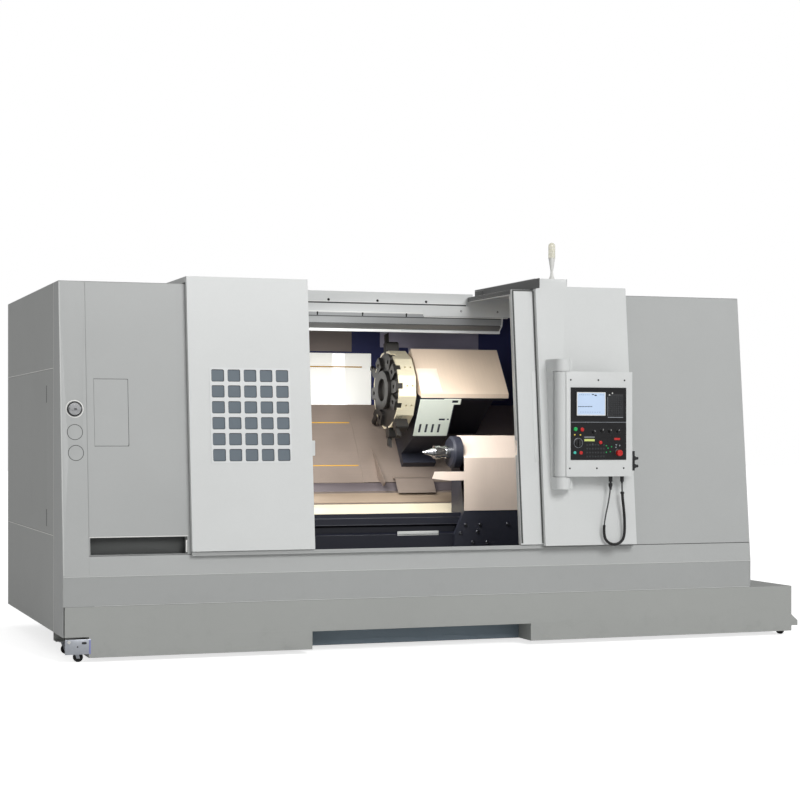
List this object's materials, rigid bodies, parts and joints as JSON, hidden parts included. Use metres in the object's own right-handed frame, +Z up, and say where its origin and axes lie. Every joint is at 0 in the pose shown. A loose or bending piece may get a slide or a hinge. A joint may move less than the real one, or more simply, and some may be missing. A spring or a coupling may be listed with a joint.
{
  "type": "cnc turning lathe",
  "caption": "Slant-bed turning lathe with full enclosure, sliding doors, tool turret, tailstock, swinging control panel and roll-out coolant tank.",
  "frame": {"origin": "centre of the bottom of the whole machine's box, on the floor", "axes": "+X to the machine's right along the spindle and the bed, +Y to the rear, +Z up"},
  "size_m": [5.069, 2.646, 2.676],
  "materials": {
    "cast_iron_paint": "painted casting, machined where pieces seat",
    "cabinet_grey": "fine textured grey coating on sheet",
    "door_white": "fine textured light coating on sheet",
    "lining": "dark wear resistant lining sheet",
    "stainless": "brushed stainless sheet",
    "steel": "ground and turned steel",
    "motor_paint": "dark motor enamel",
    "pane": "laminated pane",
    "lamp_lens": "clear lens",
    "grey_plastic": "moulded foot",
    "black_plastic": "satin black plate",
    "red_plastic": "moulded red head",
    "green_plastic": "moulded green head",
    "cable_rubber": "black jacket",
    "wheel_rubber": "solid tyre"
  },
  "bodies": {
    "machine": {"bed_casting": "cast_iron_paint", "levelling_feet": "steel", "headstock_casting": "cast_iron_paint", "spindle_motor": "motor_paint", "z_ballscrew": "steel", "front_left_column": "cabinet_grey", "front_left_panel": "cabinet_grey", "left_side_panel": "cabinet_grey", "front_apron": "cabinet_grey", "front_sill": "cabinet_grey", "right_cabinet": "cabinet_grey", "roof_panel": "cabinet_grey", "rear_enclosure": "cabinet_grey", "door_track": "door_white", "hmi_housing": "door_white", "signal_lamp_base": "grey_plastic", "signal_lamp_lens": "lamp_lens", "interior_back_wall": "lining", "interior_left_wall": "lining", "chip_slope": "lining"},
    "lock": {"lock_handle": "steel"},
    "hatch": {"access_hatch": "cabinet_grey"},
    "side_door": {"side_door": "cabinet_grey"},
    "left_door": {"left_door": "door_white", "left_door_glass": "pane"},
    "right_door": {"right_door": "door_white", "right_door_glass": "pane"},
    "spindle": {"spindle": "steel", "chuck_body": "steel"},
    "jaw_1": {"chuck_jaw_1": "steel"},
    "jaw_2": {"chuck_jaw_2": "steel"},
    "jaw_3": {"chuck_jaw_3": "steel"},
    "carriage": {"saddle": "cast_iron_paint", "saddle_cover": "stainless"},
    "middle_cover": {"middle_way_cover": "stainless"},
    "cross_slide": {"turret_head": "cast_iron_paint", "turret_cover": "stainless", "slotted_guard": "stainless"},
    "turret": {"turret_disc": "steel", "tool_holders": "steel"},
    "tailstock": {"tailstock_body": "cast_iron_paint", "tailstock_cover": "stainless"},
    "quill": {"quill": "steel"},
    "live_centre": {"live_centre": "steel"},
    "control_panel": {"hmi_box": "door_white", "hmi_face": "black_plastic", "hmi_cable": "cable_rubber"},
    "emergency_stop": {"emergency_stop": "red_plastic"},
    "cycle_start": {"cycle_start": "green_plastic"},
    "feed_hold": {"feed_hold": "red_plastic"},
    "mode_selector": {"mode_selector": "black_plastic"},
    "tank": {"coolant_tank": "cabinet_grey"},
    "fork_front_left": {"caster_fork_front_left": "steel"},
    "wheel_front_left": {"caster_wheel_front_left": "wheel_rubber"},
    "fork_rear_left": {"caster_fork_rear_left": "steel"},
    "wheel_rear_left": {"caster_wheel_rear_left": "wheel_rubber"},
    "fork_front_right": {"caster_fork_front_right": "steel"},
    "wheel_front_right": {"caster_wheel_front_right": "wheel_rubber"},
    "fork_rear_right": {"caster_fork_rear_right": "steel"},
    "wheel_rear_right": {"caster_wheel_rear_right": "wheel_rubber"}
  },
  "joints": [
    {"name": "left_door_slide", "type": "slide", "parent": "machine", "child": "left_door", "axis": [1, 0, 0], "range_m": [0, 0.701]},
    {"name": "right_door_slide", "type": "slide", "parent": "machine", "child": "right_door", "axis": [-1, 0, 0], "range_m": [0, 0.701]},
    {"name": "lock_turn", "type": "hinge", "parent": "machine", "child": "lock", "pos_m": [-2.4475, -1.025, 1.54], "axis": [0, -0.995, 0.0995], "range_deg": [0, 90]},
    {"name": "hatch_hinge", "type": "hinge", "parent": "machine", "child": "hatch", "pos_m": [-2.3262, -1.0255, 1.5195], "axis": [0, 0.0995, 0.995], "range_deg": [-110, 0]},
    {"name": "side_door_hinge", "type": "hinge", "parent": "machine", "child": "side_door", "pos_m": [-2.5332, 1.2908, 1.2765], "axis": [0, 0, 1], "range_deg": [-95, 0]},
    {"name": "spindle_turn", "type": "hinge", "parent": "machine", "child": "spindle", "pos_m": [-1.1895, -0.227, 1.261], "axis": [1, 0, 0], "continuous": true},
    {"name": "jaw_1_slide", "type": "slide", "parent": "spindle", "child": "jaw_1", "axis": [0, 0, 1], "range_m": [0, 0.012]},
    {"name": "jaw_2_slide", "type": "slide", "parent": "spindle", "child": "jaw_2", "axis": [0, -0.866, -0.5], "range_m": [0, 0.012]},
    {"name": "jaw_3_slide", "type": "slide", "parent": "spindle", "child": "jaw_3", "axis": [0, 0.866, -0.5], "range_m": [0, 0.012]},
    {"name": "carriage_slide", "type": "slide", "parent": "machine", "child": "carriage", "axis": [-1, 0, 0], "range_m": [0, 0.74]},
    {"name": "middle_cover_slide", "type": "slide", "parent": "machine", "child": "middle_cover", "axis": [-1, 0, 0], "range_m": [0, 0.54]},
    {"name": "cross_slide_travel", "type": "slide", "parent": "carriage", "child": "cross_slide", "axis": [0, 0.5736, 0.8192], "range_m": [-0.08, 0.12]},
    {"name": "turret_index", "type": "hinge", "parent": "cross_slide", "child": "turret", "pos_m": [0.0255, 0.0794, 1.6986], "axis": [1, 0, 0], "continuous": true},
    {"name": "tailstock_slide", "type": "slide", "parent": "machine", "child": "tailstock", "axis": [-1, 0, 0], "range_m": [-0.25, 0.6]},
    {"name": "quill_slide", "type": "slide", "parent": "tailstock", "child": "quill", "axis": [-1, 0, 0], "range_m": [0, 0.15]},
    {"name": "live_centre_spin", "type": "hinge", "parent": "quill", "child": "live_centre", "pos_m": [0.1655, -0.227, 1.261], "axis": [1, 0, 0], "continuous": true},
    {"name": "control_panel_swing", "type": "hinge", "parent": "machine", "child": "control_panel", "pos_m": [0.7115, -1.227, 1.452], "axis": [0, 0, 1], "range_deg": [-95, 0]},
    {"name": "emergency_stop_press", "type": "slide", "parent": "control_panel", "child": "emergency_stop", "axis": [0, 1, 0], "range_m": [0, 0.004], "stiffness_N_per_m": 400},
    {"name": "cycle_start_press", "type": "slide", "parent": "control_panel", "child": "cycle_start", "axis": [0, 1, 0], "range_m": [0, 0.004], "stiffness_N_per_m": 400},
    {"name": "feed_hold_press", "type": "slide", "parent": "control_panel", "child": "feed_hold", "axis": [0, 1, 0], "range_m": [0, 0.004], "stiffness_N_per_m": 400},
    {"name": "mode_selector_turn", "type": "hinge", "parent": "control_panel", "child": "mode_selector", "pos_m": [0.7935, -1.293, 1.329], "axis": [0, -1, 0], "range_deg": [-60, 60]},
    {"name": "tank_slide", "type": "slide", "parent": "machine", "child": "tank", "axis": [0, -1, 0], "range_m": [0, 0.5]},
    {"name": "swivel_front_left", "type": "hinge", "parent": "tank", "child": "fork_front_left", "pos_m": [-2.4485, -1.045, 0.078], "axis": [0, 0, 1], "continuous": true},
    {"name": "roll_front_left", "type": "hinge", "parent": "fork_front_left", "child": "wheel_front_left", "pos_m": [-2.4305, -1.045, 0.03], "axis": [0, 1, 0], "continuous": true},
    {"name": "swivel_rear_left", "type": "hinge", "parent": "tank", "child": "fork_rear_left", "pos_m": [-2.4485, -0.587, 0.078], "axis": [0, 0, 1], "continuous": true},
    {"name": "roll_rear_left", "type": "hinge", "parent": "fork_rear_left", "child": "wheel_rear_left", "pos_m": [-2.4305, -0.587, 0.03], "axis": [0, 1, 0], "continuous": true},
    {"name": "swivel_front_right", "type": "hinge", "parent": "tank", "child": "fork_front_right", "pos_m": [2.4325, -1.035, 0.078], "axis": [0, 0, 1], "continuous": true},
    {"name": "roll_front_right", "type": "hinge", "parent": "fork_front_right", "child": "wheel_front_right", "pos_m": [2.4505, -1.035, 0.03], "axis": [0, 1, 0], "continuous": true},
    {"name": "swivel_rear_right", "type": "hinge", "parent": "tank", "child": "fork_rear_right", "pos_m": [2.4325, -0.587, 0.078], "axis": [0, 0, 1], "continuous": true},
    {"name": "roll_rear_right", "type": "hinge", "parent": "fork_rear_right", "child": "wheel_rear_right", "pos_m": [2.4505, -0.587, 0.03], "axis": [0, 1, 0], "continuous": true}
  ],
  "couplings": [
    {"joint": "jaw_2_slide", "follows": "jaw_1_slide", "ratio": 1},
    {"joint": "jaw_3_slide", "follows": "jaw_1_slide", "ratio": 1},
    {"joint": "middle_cover_slide", "follows": "carriage_slide", "ratio": 0.7297}
  ]
}
